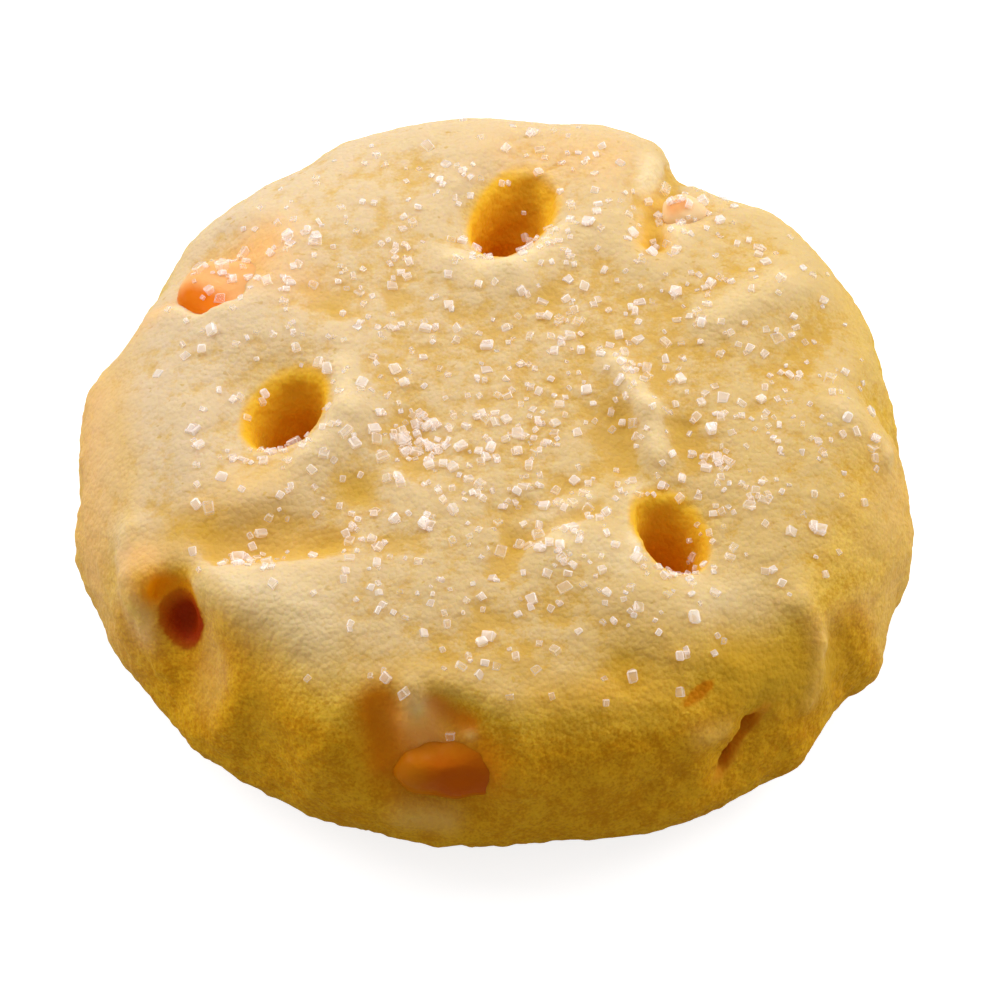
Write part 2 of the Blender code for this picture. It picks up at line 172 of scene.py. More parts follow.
# The dough filled out again where the marks and pockets are stopped up.
FILLS = (
    Form((-5.6, -25.4, 10.4), (-1.8, -25.6, 10.4), 3.3, 2.2),
    Form((-19.6, 10.2, 15.0), (-17.0, 12.6, 15.4), 3.2, 1.0),
    Form((-22.4, -16.6, 7.4), (-23.0, -15.0, 8.4), 2.0, 0.6),
    Form((-23.9, -15.4, 11.4), (-23.4, -17.8, 9.4), 1.5, 0.8),
    Form((-23.4, -13.6, 12.8), (-23.4, -16.4, 11.2), 1.4, 1.3),
    Form((-18.4, -16.4, 15.2), (-13.4, -19.0, 15.2), 2.6, 0.5),
    Form((-17.0, -9.4, 15.4), (-10.5, -9.2, 15.8), 1.8, 0.6),
)

# Lips, folds and ridges, which are also painted paler than the dough round them, as painted light.
RIDGES = (
    # Along the lower and right rims of the prick holes.
    Form((-10.7, 1.8, 16.6), (-10.3, -2.2, 16.6), 0.9, 0.45),
    Form((-10.3, -2.2, 16.6), (-12.8, -5.6, 16.5), 0.9, 0.42),
    Form((-2.9, 11.4, 16.6), (0.8, 10.2, 16.6), 0.9, 0.40),
    Form((0.8, 10.2, 16.6), (4.6, 14.4, 16.5), 0.9, 0.48),
    Form((9.3, -8.6, 16.5), (9.7, -12.9, 16.4), 0.9, 0.42),
    Form((9.7, -12.9, 16.4), (13.2, -15.4, 16.1), 0.8, 0.36),
    # Beside and below the cavity: the cliff, its foot and the flake.
    Form((-21.0, -15.4, 14.4), (-20.5, -20.0, 12.0), 0.8, 1.0),
    Form((-20.0, -20.4, 11.6), (-20.3, -22.2, 8.4), 0.8, 0.7),
    Form((-24.8, -10.0, 13.4), (-24.9, -15.8, 10.6), 1.0, 0.45),
    # Round the front fruit: the tongue, the fold above it and the lobe below it.
    Form((-5.6, -23.6, 14.8), (-5.0, -26.0, 13.4), 0.8, 0.45),
    Form((-4.0, -26.4, 13.1), (-1.8, -26.5, 13.1), 0.45, 0.55),
    Form((-6.0, -28.6, 6.8), (-3.4, -28.8, 6.5), 1.1, 0.45),
    # Below the left fruit.
    Form((-22.6, 7.8, 14.2), (-18.6, 7.0, 15.8), 0.8, 0.55),
    # Behind the fold at the back.
    Form((12.9, 13.6, 15.6), (12.5, 15.4, 15.6), 0.7, 0.6),
    Form((10.8, 19.2, 15.2), (10.9, 21.6, 14.0), 0.9, 0.7),
    # Beside the crack, and under the small one.
    Form((14.2, -25.8, 11.4), (15.6, -25.0, 10.8), 1.0, 0.60),
    Form((12.2, -25.8, 13.2), (14.6, -25.8, 12.6), 0.7, 0.40),
    # On the right half of the top, and down over its edges.
    Form((8.2, 2.2, 16.9), (10.3, -1.8, 16.9), 0.75, 0.40),
    Form((10.3, -1.8, 16.9), (11.0, -5.6, 16.7), 0.75, 0.38),
    Form((15.2, 6.0, 16.2), (20.0, 9.7, 15.2), 1.2, 0.35),
    Form((1.7, -11.3, 16.7), (6.3, -8.9, 16.7), 0.8, 0.30),
    Form((20.5, -16.0, 14.0), (22.0, -17.9, 11.5), 0.8, 0.35),
    Form((22.0, -17.9, 11.5), (21.3, -20.3, 8.3), 0.8, 0.35),
    Form((23.6, -0.7, 14.8), (26.5, -3.1, 12.9), 0.9, 0.45),
)

# Hollows and creases.
HOLLOWS = (
    # Left of the front fruit.
    Form((-7.9, -24.6, 14.0), (-7.3, -27.0, 11.4), 1.2, -0.7),
    # Above the cavity, at its right and in its lower lip.
    Form((-22.8, -14.2, 13.0), (-21.2, -15.0, 13.6), 0.8, -0.4),
    Form((-21.0, -17.8, 12.0), (-20.7, -20.0, 11.2), 1.1, -0.6),
    Form((-22.2, -15.6, 12.6), (-21.6, -18.2, 11.4), 1.2, -1.0),
    # Above the front fruit and below it.
    Form((-3.9, -25.0, 14.2), (-1.9, -25.8, 13.8), 0.8, -0.5),
    Form((-7.4, -27.6, 9.4), (-5.0, -28.4, 7.8), 0.5, -0.3),
    # The fold in front of the notch at the back.
    Form((11.2, 13.6, 15.6), (11.6, 18.9, 15.0), 0.7, -0.6),
    Form((11.1, 13.2, 16.0), (11.3, 14.2, 16.0), 0.8, -0.8),
    Form((12.7, 19.6, 14.6), (12.8, 21.6, 13.4), 0.9, -0.8),
    # Below the cavity.
    Form((-20.3, -18.8, 12.4), (-20.6, -21.4, 9.0), 0.55, -0.9),
    Form((-21.8, -18.8, 10.9), (-21.6, -20.0, 9.4), 0.9, -0.5),
    # Along the ridges and lobes of the top.
    Form((-18.8, -13.0, 15.4), (-11.0, -12.8, 15.8), 1.1, -0.6),
    Form((8.2, -2.6, 16.6), (8.9, -6.6, 16.6), 0.8, -0.30),
    Form((12.6, -3.4, 16.6), (13.2, -6.4, 16.6), 0.8, -0.25),
    Form((1.4, -12.6, 16.6), (6.6, -10.2, 16.6), 0.8, -0.35),
    Form((0.3, -15.2, 16.4), (1.5, -12.4, 16.6), 0.8, -0.25),
)

# The edges of the even mesh that is shaped, and of the fine mesh that shows.
EVEN_EDGE, FINE_EDGE = 0.45, 0.31

# How many rounds of smoothing close the marks and pockets, how much the large forms are deepened
# after it, and against how broad a mean.
STOPPING_ROUNDS, DEEPENING, BROAD_ROUNDS = 500, 0.8, 40


def smooth_step(low, high, values):
    """0 below low and 1 above high, with a soft rise between; low may be the larger of the two."""
    share = np.clip((values - low) / (high - low), 0.0, 1.0)
    return share * share * (3.0 - 2.0 * share)


def unit(vector):
    return vector / np.linalg.norm(vector)


def new_object(name, data):
    thing = bpy.data.objects.new(name, data)
    bpy.context.scene.collection.objects.link(thing)
    return thing


def finished_mesh(bm, name):
    mesh = bpy.data.meshes.new(name)
    bm.to_mesh(mesh)
    bm.free()
    return mesh


def points_of(mesh):
    flat = np.empty(len(mesh.vertices) * 3)
    mesh.vertices.foreach_get("co", flat)
    return flat.reshape(-1, 3) / MM


def normals_of(mesh):
    flat = np.empty(len(mesh.vertices) * 3)
    mesh.vertex_normals.foreach_get("vector", flat)
    return flat.reshape(-1, 3)


def edges_of(mesh):
    flat = np.empty(len(mesh.edges) * 2, dtype=int)
    mesh.edges.foreach_get("vertices", flat)
    return flat.reshape(-1, 2)


def put_points(mesh, points):
    mesh.vertices.foreach_set("co", (points * MM).ravel())
    mesh.update()


def relaxed(points, edges, weight, rounds):
    """The points drawn towards the mean of their neighbours; a weight of 0 holds a point still."""
    count = len(points)
    start, end = edges.T
    degree = np.bincount(edges.ravel(), minlength=count)
    for _ in range(rounds):
        mean = [
            np.bincount(start, points[end, axis], count) + np.bincount(end, points[start, axis], count)
            for axis in range(3)
        ]
        points = points + ((np.array(mean) / degree).T - points) * weight[:, None]
    return points


def smoothed(mesh, weight, rounds):
    """The mesh's points after some rounds of smoothing, which the mesh takes too."""
    points = points_of(mesh)
    points = relaxed(points, edges_of(mesh), np.full(len(points), weight), rounds)
    put_points(mesh, points)
    return points


def pin_axes(pin):
    """The pin's long and short sides, its way out and its depth."""
    mouth, tip = np.array(pin.mouth), np.array(pin.tip)
    out = unit(mouth - tip)
    long = np.array(pin.long)
    long = unit(long - out * (long @ out))
    return long, np.cross(out, long), out, np.linalg.norm(mouth - tip)


def pin_radius(pin, share):
    """The longer half of a pin's oval at a share of the way down to its tip."""
    return pin.radius * (pin.taper + (1.0 - pin.taper) * (1.0 - np.clip(share, 0.0, 1.0)) ** 1.5)


def pin_places(points, pin):
    """For each point, its distance from the pin's axis in radii and its share of the way down."""
    long, side, out, depth = pin_axes(pin)
    offset = points - np.array(pin.mouth)
    share = -(offset @ out) / depth
    across = np.hypot(offset @ long, offset @ side / pin.squeeze)
    return across / pin_radius(pin, share), share


def lump_distance(points, lump):
    """For each point, its distance from a lump's middle in the lump's radii."""
    turn = np.array(Matrix.Rotation(math.radians(lump.turn), 3, "Z"))
    return np.linalg.norm((points - np.array(lump.middle)) @ turn / np.array(lump.radii), axis=1)


def stroke_weight(points, stroke):
    """How strongly a form or tint acts on each point: 1 on its stroke, fading over its width."""
    start = np.array(stroke.start)
    along = np.array(stroke.end) - start
    share = np.clip((points - start) @ along / max(along @ along, 1e-9), 0.0, 1.0)
    distance = np.linalg.norm(points - start - share[:, None] * along, axis=1)
    return np.exp(-((distance / stroke.width) ** 2))


def uneven(points, scale, shift, stretch=(1.0, 1.0, 1.0)):
    """Smooth seeded unevenness between about -1 and 1 at each point."""
    places = points / (scale * np.array(stretch)) + np.array((shift, shift * 0.5, -shift))
    return np.array([noise.noise(place) for place in places.tolist()])


def crumbs(points, scale, shift):
    """Rounded crumbs packed side by side: 1 at the middle of each, 0 and less between them."""
    places = points / scale + np.array((shift, -shift, shift * 0.5))
    nearest = [noise.voronoi(place)[0][0] for place in places.tolist()]
    return 1.0 - 2.2 * np.array(nearest)


def evened(mesh, name, edge, flat_as_one=False):
    """The mesh rebuilt from even small faces; what is quite flat can be left as one big face."""
    thing = new_object(name, mesh)
    step = thing.modifiers.new("even", "REMESH")
    step.mode = "VOXEL"
    step.voxel_size = edge * MM
    if flat_as_one:
        step = thing.modifiers.new("flat", "DECIMATE")
        step.decimate_type = "DISSOLVE"
        step.angle_limit = math.radians(0.02)
    return taken(thing)


def taken(thing):
    """The object's mesh with its modifiers applied; the object is deleted."""
    graph = bpy.context.evaluated_depsgraph_get()
    mesh = bpy.data.meshes.new_from_object(thing.evaluated_get(graph), depsgraph=graph)
    bpy.data.objects.remove(thing, do_unlink=True)
    return mesh


def tree_of(mesh):
    """The mesh's faces, ready to be searched for the nearest point or along a ray."""
    corners = [vert.co for vert in mesh.vertices]
    return BVHTree.FromPolygons(corners, [face.vertices for face in mesh.polygons])


def merged_copy(node):
    """A copy of a CAD node's mesh with its loose triangles joined."""
    bm = bmesh.new()
    bm.from_mesh(node.data)
    bmesh.ops.remove_doubles(bm, verts=bm.verts, dist=0.001 * MM)
    return finished_mesh(bm, node.name)


def stopped_up(points):
    """1 in and round each mark and pocket, 0 elsewhere."""
    weight = np.zeros(len(points))
    for pin in MARKS:
        across, share = pin_places(points, pin)
        near = smooth_step(1.9, 1.4, across) * smooth_step(1.6, 1.3, share)
        weight = np.maximum(weight, near * (share > -0.6))
    for lump in POCKETS + WINDOWS:
        weight = np.maximum(weight, smooth_step(1.35, 1.15, lump_distance(points, lump)))
    return weight


def dough_blank(node):
    """The CAD dough, smooth, with its marks and pockets stopped up."""
    mesh = evened(merged_copy(node), "blank", EVEN_EDGE)
    points = smoothed(mesh, 0.6, 8)
    put_points(mesh, relaxed(points, edges_of(mesh), stopped_up(points), STOPPING_ROUNDS))
    mesh = evened(mesh, "blank", EVEN_EDGE)
    points = smoothed(mesh, 0.6, 5)
    broad = relaxed(points, edges_of(mesh), np.ones(len(points)), BROAD_ROUNDS)
    proud = ((points - broad) * normals_of(mesh)).sum(axis=1)
    rise = DEEPENING * proud * smooth_step(1.5, 4.0, points[:, 2])
    for forms in (FILLS, RIDGES + HOLLOWS):
        rise += sum(form.rise * stroke_weight(points, form) for form in forms)
        points = points + normals_of(mesh) * rise[:, None]
        put_points(mesh, points)
        rise = np.zeros(len(points))
    return mesh


def pin_cutter(name, pin, seed):
    """A round-ended tapering tool with slightly rough sides, reaching well out of the dough."""
    long, side, out, depth = pin_axes(pin)
    steps = 26
    # A wide head that stands out of the dough, then the pin itself down to its tip.
    profile = [(0.0, 4.0), (pin.radius * 1.25, 4.0), (pin.radius * 1.05, 1.2)]
    for step in range(steps + 1):
        share = step / steps
        profile.append((float(pin_radius(pin, share)) * math.sqrt(1.0 - share**5), -depth * share))
    bm = bmesh.new()
    line = [bm.verts.new((radius, 0.0, height)) for radius, height in profile]
    edges = [bm.edges.new(pair) for pair in zip(line, line[1:])]
    bmesh.ops.spin(
        bm, geom=line + edges, cent=(0, 0, 0), axis=(0, 0, 1), dvec=(0, 0, 0),
        angle=math.tau, steps=64, use_merge=True, use_duplicate=False,
    )
    bmesh.ops.remove_doubles(bm, verts=bm.verts, dist=0.0001)
    bmesh.ops.recalc_face_normals(bm, faces=bm.faces)
    frame_of_pin = np.array((long, side * pin.squeeze, out))
    for vert in bm.verts:
        place = np.array(vert.co) @ frame_of_pin + np.array(pin.mouth)
        rough = 0.18 * noise.noise(Vector(place) / 1.3 + Vector((seed, 0, 0)))
        rough = (rough + 0.24 * noise.noise(Vector(place) / 0.6 + Vector((seed, 9, 0)))) * 0.6 / pin.squeeze
        outward = np.array((vert.co.x, vert.co.y, 0.0)) @ frame_of_pin
        place += outward / max(np.linalg.norm(outward), 0.001) * rough
        vert.co = Vector(place) * MM
    return new_object(name, finished_mesh(bm, name))


def lump_mesh(lump):
    bm = bmesh.new()
    bmesh.ops.create_icosphere(bm, subdivisions=4, radius=1.0)
    turn = Matrix.Rotation(math.radians(lump.turn), 3, "Z")
    for vert in bm.verts:
        size = 1.0 + 0.10 * noise.noise(vert.co * 2.0 + Vector(lump.middle))
        size += 0.05 * noise.noise(vert.co * 5.0 + Vector(lump.middle))
        size += 0.07 * noise.noise(vert.co * 9.0 + Vector(lump.middle))
        spot = Vector(direction * radius for direction, radius in zip(vert.co, lump.radii))
        vert.co = (turn @ spot * size + Vector(lump.middle)) * MM
    return finished_mesh(bm, "lump")


def cut_marks(mesh):
    """The dough with its marks cut again, crisply, as an even fine mesh."""
    dough = new_object("cut_dough", mesh)
    cutters = [pin_cutter(f"mark_{n}", pin, 3.7 * n) for n, pin in enumerate(MARKS)]
    cutters += [new_object(f"window_{n}", lump_mesh(lump)) for n, lump in enumerate(WINDOWS)]
    for cutter in cutters:
        step = dough.modifiers.new(cutter.name, "BOOLEAN")
        step.operation = "DIFFERENCE"
        step.solver = "EXACT"
        step.object = cutter
    mesh = evened(taken(dough), "fine_dough", FINE_EDGE, flat_as_one=True)
    for cutter in cutters:
        bpy.data.objects.remove(cutter, do_unlink=True)
    return mesh


def marked_depth(points):
    """How far each point is inside a mark, 0 on the surface and soon 1, and how far down the mark."""
    deep, down = np.zeros(len(points)), np.zeros(len(points))
    for pin in MARKS:
        across, share = pin_places(points, pin)
        behind = (points - np.array(pin.mouth)) @ np.array((-0.5, 0.85, 0.0)) / pin.radius
        edge = 1.12 + 0.10 * np.clip(behind, -1.0, 1.0)
        inside = smooth_step(edge + 0.10, edge - 0.08, across)
        inside *= smooth_step(-0.12, 0.1, share) * (share < 1.3)
        deep = np.maximum(deep, inside)
        down = np.maximum(down, inside * np.clip(share, 0.0, 1.0))
    return deep, down


def rim_share(points):
    """1 at the rims of the marks and 0 away from them."""
    rim = np.zeros(len(points))
    for pin in MARKS:
        across, share = pin_places(points, pin)
        near = smooth_step(0.23 / pin.squeeze, 0.05, abs(across - 1.08))
        near *= smooth_step(0.22, 0.05, abs(share + 0.02))
        rim = np.maximum(rim, near)
    return rim


def store(mesh, name, values):
    mesh.attributes.new(name, "FLOAT", "POINT").data.foreach_set("value", values.astype(np.float32))


def crumb_rise(points, normals, deep):
    """How far each point stands out or in: crumbs everywhere, more on walls and at torn rims."""
    wall = smooth_step(0.75, 0.25, normals[:, 2]) * (1.0 - deep)
    rise = 0.10 * uneven(points, 2.2, 4.0) + 0.07 * uneven(points, 1.1, 9.0)
    rise += 0.05 * uneven(points, 0.6, 27.0)
    rise += 0.09 * crumbs(points, 0.9, 5.0) * uneven(points, 4.0, 33.0)
    rise += wall * 0.13 * crumbs(points, 1.2, 51.0) * smooth_step(-0.1, 0.4, uneven(points, 3.0, 57.0))
    rise += wall * (0.12 * uneven(points, 1.6, 14.0, (1.0, 1.0, 2.2)) + 0.08 * uneven(points, 0.7, 19.0))
    rise += rim_share(points) * (0.22 * uneven(points, 0.7, 41.0) + 0.12 * uneven(points, 0.35, 47.0))
    return rise * (smooth_step(0.0, 1.0, points[:, 2]) * (1.0 - 0.5 * deep))


def store_relief(mesh, points, normals):
    """Stores how sunken each point is, for painted shade in hollows, and how far it faces the front, for
    painted shade on those slopes; returns the slope of the large forms.
    """
    edges, everywhere = edges_of(mesh), np.ones(len(points))
    near = relaxed(points, edges, everywhere, 10)
    far = relaxed(near, edges, everywhere, 80)
    store(mesh, "dimple", ((near - points) * normals).sum(axis=1))
    store(mesh, "hollow", ((far - near) * normals).sum(axis=1))
    put_points(mesh, near)
    store(mesh, "painted_shade_front", smooth_step(0.05, 0.6, -normals_of(mesh)[:, 1]))
    put_points(mesh, far)
    slope = normals_of(mesh)
    put_points(mesh, points)
    return slope


def store_baking(mesh, points, slope):
    """Stores how baked, low and warm the dough is; painted light makes its back and sides paler and less
    golden.
    """
    sideways = smooth_step(0.45, 0.9, abs(slope[:, 0])) * smooth_step(-0.6, -0.25, slope[:, 1])
    # Painted light: the back and sides, lit from behind and beside, are kept paler.
    painted_light_sides = np.maximum(smooth_step(-0.3, 0.5, slope[:, 1]), sideways)
    steep, flat = 0.50 - 0.25 * painted_light_sides, 0.985 - 0.25 * painted_light_sides
    baked = np.clip((flat - slope[:, 2]) / (flat - steep), 0.0, 1.0)
    low = smooth_step(12.0, 7.0, points[:, 2])
    store(mesh, "baked", np.maximum(baked * (1.0 - 0.6 * painted_light_sides), low * (1.0 - 0.4 * painted_light_sides)))
    store(mesh, "low", low)
    store(mesh, "painted_light_sides", painted_light_sides * smooth_step(0.0, 9.0, points[:, 2]))
    store(mesh, "base", smooth_step(1.6, 0.2, points[:, 2] + 0.5 * uneven(points, 2.5, 61.0)))
    # The dough is warmer in colour towards the right and the front.
    store(mesh, "warm", np.clip(0.48 + points[:, 0] * 0.018 - points[:, 1] * 0.008, 0.0, 1.0))


def store_tints(mesh, points, deep):
    """Stores each tint; ridges get the cream painted light too, which stays out of the marks as the dark
    painted shade stays in them.
    """
    for name, strokes in TINTS.items():
        share = sum(stroke.strength * stroke_weight(points, stroke) for stroke in strokes)
        if name == "cream":
            share += sum(1.5 * ridge.rise * stroke_weight(points, ridge) for ridge in RIDGES)
        kept = {"painted_shade_dark": smooth_step(0.0, 0.6, deep), "cream": 1.0 - deep}.get(name, 1.0)
        store(mesh, name, np.clip(share, 0.0, 1.0) * kept)


def crumbly_dough(mesh):
    """Roughens the fine dough and stores what its colour follows."""
    points = smoothed(mesh, 0.5, 1)
    normals = normals_of(mesh)
    deep, down = marked_depth(points)
    points = points + normals * crumb_rise(points, normals, deep)[:, None]
    points[:, 2] = np.maximum(points[:, 2], 0.0)
    put_points(mesh, points)
    store(mesh, "deep", deep)
    store(mesh, "down", down)
    slope = store_relief(mesh, points, normals)
    store_baking(mesh, points, slope)
    store_tints(mesh, points, deep)
    mesh.shade_smooth()
    return mesh


class Value:
    """A number that varies over a surface; arithmetic on it adds Math nodes to its material."""

    def __init__(self, look, socket):
        self.look = look
        self.socket = socket

    def step(self, operation, *sides):
        """A Math node fed with its two sides, each of them a Value or a plain number."""
        inputs = dict(enumerate(sides))
        node = self.look.node("ShaderNodeMath", {"operation": operation}, inputs)
        return Value(self.look, node.outputs[0])

    def __add__(self, other):
        return self.step("ADD", self, other)

    def __radd__(self, other):
        return self.step("ADD", other, self)

    def __sub__(self, other):
        return self.step("SUBTRACT", self, other)

    def __rsub__(self, other):
        return self.step("SUBTRACT", other, self)

    def __mul__(self, other):
        return self.step("MULTIPLY", self, other)

    def __rmul__(self, other):
        return self.step("MULTIPLY", other, self)

    def between(self, low, high, kind="SMOOTHSTEP"):
        """0 where the value is at low and 1 where it is at high, with a soft rise."""
        inputs = {"Value": self, "From Min": low, "From Max": high}
        node = self.look.node("ShaderNodeMapRange", {"interpolation_type": kind}, inputs)
        return Value(self.look, node.outputs[0])

    def ramp(self, low, high):
        """0 where the value is at low and 1 where it is at high, with a straight rise."""
        return self.between(low, high, "LINEAR")


class Look:
    """A material under construction."""

    def __init__(self, name, roughness):
        self.material = bpy.data.materials.new(name)
        self.material.use_nodes = True
        self.tree = self.material.node_tree
        self.shader = self.tree.nodes["Principled BSDF"]
        self.shader.inputs["Roughness"].default_value = roughness
        self.coordinates = self.node("ShaderNodeTexCoord", {}, {}).outputs["Object"]

    def node(self, kind, settings, inputs):
        """A node with its settings made first, then the values or links of its sockets."""
        node = self.tree.nodes.new(kind)
        for name, setting in settings.items():
            setattr(node, name, setting)
        for name, given in inputs.items():
            self.plug(node.inputs[name], given)
        return node

    def plug(self, socket, given):
        if isinstance(given, Value):
            given = given.socket
        if isinstance(given, bpy.types.NodeSocket):
            self.tree.links.new(given, socket)
        else:
            socket.default_value = given

    def noise(self, size, detail=3.0, stretch=(1.0, 1.0, 1.0)):
        """Soft unevenness between 0 and 1 whose features are about size millimetres across."""
        scale = tuple(1.0 / (size * MM * factor) for factor in stretch)
        place = self.node("ShaderNodeMapping", {}, {"Vector": self.coordinates, "Scale": scale})
        inputs = {"Vector": place.outputs[0], "Scale": 1.0, "Detail": detail, "Roughness": 0.55}
        return Value(self, self.node("ShaderNodeTexNoise", {}, inputs).outputs[0])

    def crumbs(self, size):
        """Rounded crumbs about size millimetres across: 1 at the middle of each, lower between."""
        inputs = {"Vector": self.coordinates, "Scale": 1.0 / (size * MM)}
        distance = self.node("ShaderNodeTexVoronoi", {"feature": "F1"}, inputs).outputs["Distance"]
        return 1.0 - Value(self, distance)

    def stored(self, name):
        """A number stored on the mesh's points."""
        node = self.node("ShaderNodeAttribute", {"attribute_name": name}, {})
        return Value(self, node.outputs["Fac"])

    def blend(self, share, first, second):
        """A colour that runs from first to second; a Mix node's colours are its sockets 6 and 7."""
        node = self.node("ShaderNodeMix", {"data_type": "RGBA"}, {0: share, 6: first, 7: second})
        return node.outputs[2]

    def bump(self, height, depth):
        """Fine relief, depth millimetres high."""
        inputs = {"Height": height, "Distance": depth * MM, "Strength": 1.0}
        self.plug(self.shader.inputs["Normal"], self.node("ShaderNodeBump", {}, inputs).outputs[0])

    def colour(self, given):
        self.plug(self.shader.inputs["Base Color"], given)

    def constant(self, name, value):
        self.shader.inputs[name].default_value = value


def food(red, green, blue):
    """A colour of 8-bit display values as the linear colour that a shader takes."""
    linear = [
        ((part / 255 + 0.055) / 1.055) ** 2.4 if part > 10 else part / 255 / 12.92
        for part in (red, green, blue)
    ]
    return (*linear, 1.0)


def dough_look():
    """Pale short dough, golden on the walls, with painted shade and light: darker gold in hollows and on
    slopes facing the front, cream where it stands proud and on ridges, and paler on the back and sides.
    """
    look = Look("baked_dough", 0.62)
    warm = look.stored("warm")
    cream = look.blend(warm, food(220, 194, 156), food(213, 179, 112))
    tan = look.blend(warm, food(215, 177, 112), food(206, 161, 66))
    gold = food(210, 164, 60)
    # Inside the marks: painted light near the mouth and painted shade further down.
    painted_light_and_shade_in_marks = look.blend(look.stored("down").between(0.1, 0.9), food(236, 180, 40), food(222, 142, 0))
    mottle = look.noise(1.7, 5.0)
    fine = look.noise(0.32, 3.0)
    speckle = look.noise(0.18, 1.0)
    # Painted shade: hollows and dimples turn tan and gold, while proud places stay cream.
    hollow = look.stored("hollow") * 0.6 + look.stored("dimple") * 3.0
    patchy = mottle * 0.35 + fine * 0.35 + speckle * 0.30
    top = look.blend((patchy - hollow).between(0.31, 0.66), tan, cream)
    top = look.blend(hollow.between(0.0, 0.8) * 0.7, top, gold)
    # Painted shade: slopes facing the front turn darker gold.
    top = look.blend(look.stored("painted_shade_front") * 0.5, top, food(214, 168, 76))
    pores = look.noise(0.6, 1.0, (1.4, 1.0, 1.0)).between(0.71, 0.75)
    top = look.blend(pores * 0.5, top, food(190, 148, 50))
    shoulder = look.blend(patchy.between(0.40, 0.60), food(209, 156, 22), food(232, 189, 64))
    side = look.blend(patchy.between(0.40, 0.60), food(206, 138, 2), food(230, 172, 26))
    # Painted light: the walls at the back and sides are paler.
    painted_light_side_colour = look.blend(look.stored("low"), food(242, 212, 162), food(234, 190, 110))
    side = look.blend(look.stored("painted_light_sides") * 0.9, side, painted_light_side_colour)
    baked = look.stored("baked")
    skin = look.blend(baked.ramp(0.0, 0.5), top, shoulder)
    skin = look.blend(baked.ramp(0.4, 0.9), skin, side)
    # Fruit under a film of dough, and painted light on edges and shaded walls.
    skin = look.blend(look.stored("fruit_film_and_painted_light"), skin, food(238, 184, 116))
    # Painted shade in olive gold.
    skin = look.blend(look.stored("olive_painted_shade"), skin, food(204, 156, 34))
    # Golden painted light and shade.
    skin = look.blend(look.stored("painted_light_and_shade_gold"), skin, food(234, 178, 56))
    skin = look.blend(look.stored("deep"), skin, painted_light_and_shade_in_marks)
    # Fruit under a film of dough, and painted shade below the cavity.
    skin = look.blend(look.stored("fruit_film_and_painted_shade"), skin, food(220, 130, 4))
    # Painted highlight above the front fruit.
    skin = look.blend(look.stored("painted_highlight"), skin, food(255, 174, 80))
    # Painted light: ridges and the cream tint stay pale, warmer where baked.
    ridge = look.blend(baked, food(236, 212, 166), food(238, 190, 96))
    skin = look.blend(look.stored("cream"), skin, ridge)
    # Painted light on the wedge in the cavity.
    skin = look.blend(look.stored("painted_light_wedge"), skin, food(255, 158, 0))
    # Painted shade deep in the cavity and the cracks.
    skin = look.blend(look.stored("painted_shade_dark"), skin, food(172, 52, 0))
    look.colour(look.blend(look.stored("base") * 0.7, skin, food(150, 88, 14)))
    look.bump(look.crumbs(0.36) * 0.4 + look.noise(0.6, 4.0) * 0.6, 0.17)
    look.constant("Subsurface Weight", 0.4)
    look.constant("Subsurface Radius", (1.0, 0.7, 0.12))
    look.constant("Subsurface Scale", 1.2 * MM)
    look.constant("Specular IOR Level", 0.08)
    return look.material


def fruit_look(name, deep, pale):
    """Candied fruit, as clear and moist as jelly."""
    look = Look(name, 0.36)
    # Darker towards the heart: painted shade on the left and front pieces.
    depth = look.stored("heart") + look.noise(1.6, 2.0) * 0.5 - 0.25
    look.colour(look.blend(depth.between(0.1, 0.9), pale, deep))
    look.bump(look.noise(0.6, 2.0), 0.05)
    look.constant("Specular IOR Level", 0.06)
    look.constant("Subsurface Weight", 0.3)
    look.constant("Subsurface Radius", (0.8, 0.5, 0.2))
    look.constant("Subsurface Scale", 1.0 * MM)
    return look.material


def sugar_look():
    """White crystal that shows some of the dough through its faces and little through its edges, and glows
    faintly, painted light that fills its shaded sides.
    """
    look = Look("sugar", 0.12)
    look.colour(food(255, 244, 240))
    look.plug(look.shader.inputs["Alpha"], look.stored("cloud"))
    look.constant("Subsurface Weight", 0.8)
    look.constant("Subsurface Radius", (1.0, 0.95, 0.9))
    look.constant("Subsurface Scale", 0.6 * MM)
    # Painted light: a faint pinkish glow on every grain, though sugar gives no light.
    look.constant("Emission Color", (1.0, 0.88, 0.84, 1.0))
    look.constant("Emission Strength", 0.18)
    look.constant("Coat Weight", 0.2)
    return look.material


def make_dough():
    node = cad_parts["shortbread"]
    blank = dough_blank(node)
    skin = tree_of(blank)
    mesh = crumbly_dough(cut_marks(blank))
    mesh.materials.clear()
    mesh.materials.append(dough_look())
    dough = new_object("dough", mesh)
    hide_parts("shortbread")
    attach(dough, "root")
    return dough, skin


# A piece of fruit: the lump of it that comes up through the skin of the dough, where it is painted deepest
# in colour (painted shade in the left piece's crevice and on the front piece's lower right), and its two
# colours.
Fruit = namedtuple("Fruit", "shows heart deep pale")
FRUITS = {
    "fruit_left": Fruit(
        Lump((-19.1, 10.1, 14.25), (3.3, 2.7, 1.3), 25),
        Tint((-21.4, 8.8, 14.8), (-19.8, 8.2, 15.2), 1.4, 1.0),
        food(228, 118, 12), food(240, 178, 112),
    ),
    "fruit_front": Fruit(
        Lump((-2.6, -26.6, 9.6), (4.5, 2.1, 2.5), 0),
        Tint((-3.0, -28.6, 10.2), (-1.6, -28.4, 10.4), 2.2, 1.0),
        food(194, 90, 0), food(204, 118, 8),
    ),
    "fruit_back": Fruit(
        Lump((13.2, 16.9, 14.8), (1.7, 1.5, 1.1), 0),
        Tint((12.6, 16.6, 15.5), (13.0, 16.8, 15.5), 0.8, 1.0),
        food(238, 170, 104), food(242, 206, 156),
    ),
}

